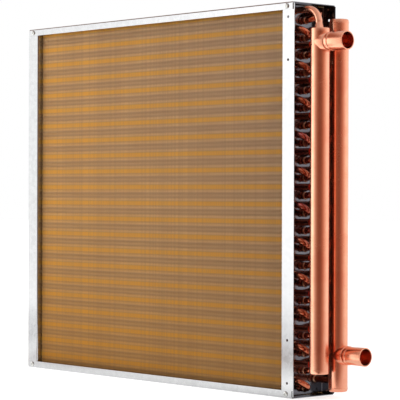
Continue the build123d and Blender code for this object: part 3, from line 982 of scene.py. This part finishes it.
class COIL_OT_headers(bpy.types.Operator):
    """Builds both headers with their collars, caps and water ports"""

    bl_idname = "coil.headers"
    bl_label = "Headers and Ports"

    def execute(self, context):
        settings = context.scene.coil_headers
        for side, y, foot, top, port_z in (
            ("front", row_y(0) + HEADER_INSET, FRONT_HEADER_FOOT, FRONT_HEADER_TOP, FRONT_PORT_Z),
            ("rear", row_y(2) - HEADER_INSET, REAR_HEADER_FOOT, REAR_HEADER_TOP, REAR_PORT_Z),
        ):
            upright = Matrix.Translation((HEADER_X, y, 0.0))
            lying = Matrix.Translation((0.0, y, port_z)) @ Matrix.Rotation(math.pi / 2, 4, "Y")
            self.add_tube(side, foot, top, upright, lying, settings)
            self.add_caps(side, foot, top, upright, settings)
            self.add_port(side, lying, settings)
        return {"FINISHED"}

    def turned_copper(self, name, profile, place, settings, closed=False):
        """A turned form in the headers' copper."""
        return turned(name, profile, place, settings.sides, shared_materials()["Header Copper"], closed)

    def add_tube(self, side, foot, top, upright, lying, settings):
        """The header's tube between its caps, with the collar that is drawn out of it for the port."""
        ends = [(z, HEADER_RADIUS) for z in (foot + settings.cap_height, top - settings.cap_height)]
        tube = self.turned_copper("tube", ends, upright, settings)
        collar = self.turned_copper("collar", self.collar_profile(settings), lying, settings, closed=True)
        header = joined("header", [tube, collar])
        place_piece(f"{side}_header_tube", header, "header_copper", f"{side}_header")

    def collar_profile(self, settings):
        """Outline of a collar with a groove and a low bead round it, and the port's bore through it."""
        inner = settings.port_radius - settings.wall
        start = HEADER_X - 0.0062
        groove = HEADER_X + settings.groove_reach
        end = HEADER_X + settings.collar_reach
        outline = [
            (x, HEADER_RADIUS - drop)
            for x, drop in (
                (start, 0.0015), (HEADER_X - 0.0045, 0.0007), (HEADER_X - 0.0025, 0.0002),
                (HEADER_X, 0.0001), (groove - 0.0010, 0.0001), (groove - 0.0003, 0.0005),
                (groove, 0.0011), (groove + 0.0004, 0.0011), (groove + 0.0012, 0.0005),
                (groove + 0.0024, 0.0002), (groove + 0.0042, 0.0002),
                (end - 0.0012, 0.0004), (end - 0.0004, 0.00055), (end, 0.0008),
            )
        ]
        return [(start, inner), *outline, (end, inner)]

    def add_caps(self, side, foot, top, upright, settings):
        """Both end caps with their lips. The front header's are flatter, with hardly any lip."""
        dome, lip = (0.35, 0.00004) if side == "front" else (1.0, 0.0003)
        caps = []
        for end, inward in ((foot, 1.0), (top, -1.0)):
            crown = [
                (end + inward * depth * dome, HEADER_RADIUS - drop * dome)
                for depth, drop in CAP_CROWN
            ]
            rim = [
                (end + inward * (settings.cap_height + depth), HEADER_RADIUS + growth)
                for depth, growth in ((0.0, 0.00002), (0.0004, lip), (0.0012, lip), (0.0018, -0.0003))
            ]
            cap = self.turned_copper("cap", [(end, 0.006), *crown, *rim], upright, settings)
            face_outward(cap)
            caps.append(cap)
        place_piece(f"{side}_domed_caps", joined("caps", caps), "header_copper", f"{side}_header_caps")

    def add_port(self, side, lying, settings):
        """The open stub in the collar, with its mouth's edges broken."""
        outer = settings.port_radius
        inner = outer - settings.wall
        start = HEADER_X + settings.collar_reach - 0.006
        edge = 0.0004
        profile = [
            (start, inner),
            (start, outer - 0.0006),
            (PORT_END_X - edge, outer),
            (PORT_END_X - edge * 0.3, outer - edge * 0.3),
            (PORT_END_X, outer - edge),
            (PORT_END_X, inner + edge * 0.5),
            (PORT_END_X - edge * 0.5, inner),
        ]
        stub = self.turned_copper("port", profile, lying, settings, closed=True)
        nodes = ["water_ports"] if side == "front" else []
        place_piece(f"{side}_port_stub", stub, "header_copper", *nodes)


class COIL_OT_screws(bpy.types.Operator):
    """Builds the pan-head screws with their cross recesses"""

    bl_idname = "coil.screws"
    bl_label = "Casing Screws"

    def execute(self, context):
        settings = context.scene.coil_screws
        tree = screw_tree()
        for side, facing, y in (("front", 0.0, -CASING_FACE_Y), ("rear", math.pi, CASING_FACE_Y)):
            mesh = grown(f"{side}_pan_heads", tree, {
                "Face Y": y,
                "Facing": facing,
                "Radius": settings.head_radius,
                "Height": settings.head_height,
                "Recess": settings.recess,
                "Material": shared_materials()["Zinc Screws"],
            })
            place_piece(f"{side}_pan_heads", mesh, "zinc_screws", f"{side}_casing_screws")
        return {"FINISHED"}


class COIL_OT_casing(bpy.types.Operator):
    """Gives the CAD model's folded sheets their galvanised finish"""

    bl_idname = "coil.casing"
    bl_label = "Casing Finish"

    def execute(self, context):
        material = shared_materials()["Galvanised Sheet"]
        for name in ("left_tube_sheet", "right_tube_sheet", "top_casing_plate", "bottom_casing_plate"):
            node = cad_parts[name]
            node.data.materials.clear()
            node.data.materials.append(material)
        return {"FINISHED"}


class COIL_OT_studio(bpy.types.Operator):
    """Sets the camera, the floor and surround, and the soft lights"""

    bl_idname = "coil.studio"
    bl_label = "Studio"

    def execute(self, context):
        settings = context.scene.coil_studio
        scene = context.scene
        scene.view_settings.view_transform = "Standard"
        self.add_camera(scene, settings)
        self.add_floor(scene)
        self.add_world(scene, settings)
        self.add_light(scene, "key", (-1.2, -1.9, 0.5), (0.0, 0.0, 0.3), 1.2, 1.2, settings.key_power)
        self.add_light(scene, "side", (0.9, -2.2, 1.0), (0.1, 0.0, 0.3), 1.0, 1.2, settings.side_power)
        return {"FINISHED"}

    def add_camera(self, scene, settings):
        """The camera at the photographed angle."""
        data = bpy.data.cameras.new("studio_camera")
        data.lens = settings.lens
        data.sensor_width = 36.0
        data.clip_end = 20.0
        camera = bpy.data.objects.new("studio_camera", data)
        scene.collection.objects.link(camera)
        heading = Matrix.Rotation(-CAMERA_YAW, 4, "Z")
        tilt = Matrix.Rotation(math.pi / 2 + CAMERA_PITCH, 4, "X")
        roll = Matrix.Rotation(CAMERA_ROLL, 4, "Z")
        camera.matrix_world = Matrix.Translation(CAMERA_PLACE) @ heading @ tilt @ roll
        scene.camera = camera

    def add_floor(self, scene):
        """A wide floor just under the casing: white to the camera, and the room's glow in reflections."""
        material, g = blank_material("Studio White")
        place = g.place()
        seen = g.node("ShaderNodeLightPath").outputs["Is Camera Ray"]
        grain = g.map_range(g.noise(place, 3.0), 0.3, 0.7, 0.97, 1.0)
        tone = g.times(grain, g.map_range(seen, 0.0, 1.0, 0.02, 0.8))
        from_pivot = g.vector_math("SUBTRACT", place, FLOOR_PIVOT)
        strength = g.smooth(g.measure("LENGTH", from_pivot), 0.7, 2.5, 1.45, 1.9)
        room = self.room_tone(g, from_pivot, strength)
        for centre, near, far, amount, colour in FLOOR_PATCHES:
            patch = g.smooth(g.measure("DISTANCE", place, centre), near, far, amount, 0.0)
            room = g.mix(patch, room, colour)
        shader = g.node("ShaderNodeBsdfPrincipled", {
            "Base Color": g.node("ShaderNodeCombineColor", {0: tone, 1: tone, 2: tone}),
            "Roughness": 0.95,
            "Emission Color": g.mix(seen, room, (0.62, 0.62, 0.62, 1.0)),
            "Emission Strength": 1.0,
        })
        g.node("ShaderNodeOutputMaterial", {"Surface": shader})
        corners = ((-1, -1), (1, -1), (1, 1), (-1, 1))
        points = [(x * FLOOR_REACH, y * FLOOR_REACH, FLOOR_Z) for x, y in corners]
        mesh = mesh_from("studio_floor", points, [(0, 1, 2, 3)], [material])
        floor = bpy.data.objects.new("studio_floor", mesh)
        scene.collection.objects.link(floor)

    def room_tone(self, g, place, scale):
        """The room's brightness in the direction of a place, turned about the upright axis."""
        ahead = g.measure("DOT_PRODUCT", place, VIEW_AHEAD)
        aside = g.measure("DOT_PRODUCT", place, VIEW_ASIDE)
        share = g.map_range(g.math("ARCTAN2", aside, ahead), -math.pi, math.pi)
        room = g.ramp(share, [(0.5 + degrees / 360.0, colour) for degrees, colour in ROOM])
        return g.scaled(room, scale)

    def add_world(self, scene, settings):
        """A surround that is white to the camera.

        Elsewhere it is the room low down and pale grey above, but dim and warm high up on the left.
        """
        world = bpy.data.worlds.new("studio_world")
        world.use_nodes = True
        world.node_tree.nodes.clear()
        g = Graph(world.node_tree)
        place = g.node("ShaderNodeTexCoord").outputs["Generated"]
        height = g.parts(place)["Z"]
        dark = g.smooth(g.measure("DOT_PRODUCT", place, DARK_SIDE), 0.40, 0.62)
        beyond = g.smooth(g.measure("DOT_PRODUCT", place, VIEW_ASIDE), 0.0, 0.5)
        pale = g.mix(beyond, (0.60, 0.59, 0.59, 1.0), (0.90, 0.87, 0.87, 1.0))
        lifted = g.times(g.smooth(height, 0.15, 0.36), g.minus(1.0, dark))
        colour = g.mix(lifted, self.room_tone(g, place, 2.0), pale)
        high = g.times(g.smooth(height, 0.24, 0.56), dark)
        colour = g.mix(high, colour, (0.30, 0.12, 0.07, 1.0))
        seen = g.node("ShaderNodeLightPath").outputs["Is Camera Ray"]
        colour = g.mix(seen, colour, (1.0, 1.0, 1.0, 1.0))
        shader = g.node("ShaderNodeBackground", {"Color": colour, "Strength": settings.world})
        g.node("ShaderNodeOutputWorld", {"Surface": shader})
        scene.world = world

    def add_light(self, scene, name, place, target, width, height, power):
        """A soft rectangular light that looks at the target."""
        data = bpy.data.lights.new("studio_" + name, "AREA")
        data.shape = "RECTANGLE"
        data.size = width
        data.size_y = height
        data.energy = power
        light = bpy.data.objects.new("studio_" + name, data)
        scene.collection.objects.link(light)
        aim = Vector(target) - Vector(place)
        light.matrix_world = Matrix.Translation(place) @ aim.to_track_quat("-Z", "Y").to_matrix().to_4x4()
        light.visible_camera = False
        light.visible_glossy = False


class COIL_PT_panel(bpy.types.Panel):
    """Lists the steps that build the heat exchanger's looks"""

    bl_idname = "COIL_PT_panel"
    bl_label = "Heat Exchanger"
    bl_space_type = "VIEW_3D"
    bl_region_type = "UI"
    bl_category = "Heat Exchanger"

    def draw(self, context):
        for operator, name, group in STEPS:
            box = self.layout.box()
            if group:
                for key in group.__annotations__:
                    box.prop(getattr(context.scene, name), key)
            box.operator(operator.bl_idname)


# Each operator, with its settings' name on the scene and their class.
STEPS = (
    (COIL_OT_fins, "coil_fins", FinSettings),
    (COIL_OT_tubes, "coil_tubes", TubeSettings),
    (COIL_OT_elbow, "", None),
    (COIL_OT_headers, "coil_headers", HeaderSettings),
    (COIL_OT_screws, "coil_screws", ScrewSettings),
    (COIL_OT_casing, "", None),
    (COIL_OT_studio, "coil_studio", StudioSettings),
)


def register():
    """Registers the operators, their settings and the panel."""
    for operator, name, group in STEPS:
        bpy.utils.register_class(operator)
        if group:
            bpy.utils.register_class(group)
            setattr(bpy.types.Scene, name, bpy.props.PointerProperty(type=group))
    bpy.utils.register_class(COIL_PT_panel)


def unregister():
    """Takes the panel, settings and operators away again."""
    bpy.utils.unregister_class(COIL_PT_panel)
    for operator, name, group in reversed(STEPS):
        if group:
            delattr(bpy.types.Scene, name)
            bpy.utils.unregister_class(group)
        bpy.utils.unregister_class(operator)


def main():
    """Builds every piece and the studio."""
    register()
    bpy.ops.coil.fins()
    bpy.ops.coil.tubes()
    bpy.ops.coil.elbow()
    bpy.ops.coil.headers()
    bpy.ops.coil.screws()
    bpy.ops.coil.casing()
    bpy.ops.coil.studio()


if __name__ == "__main__":
    main()
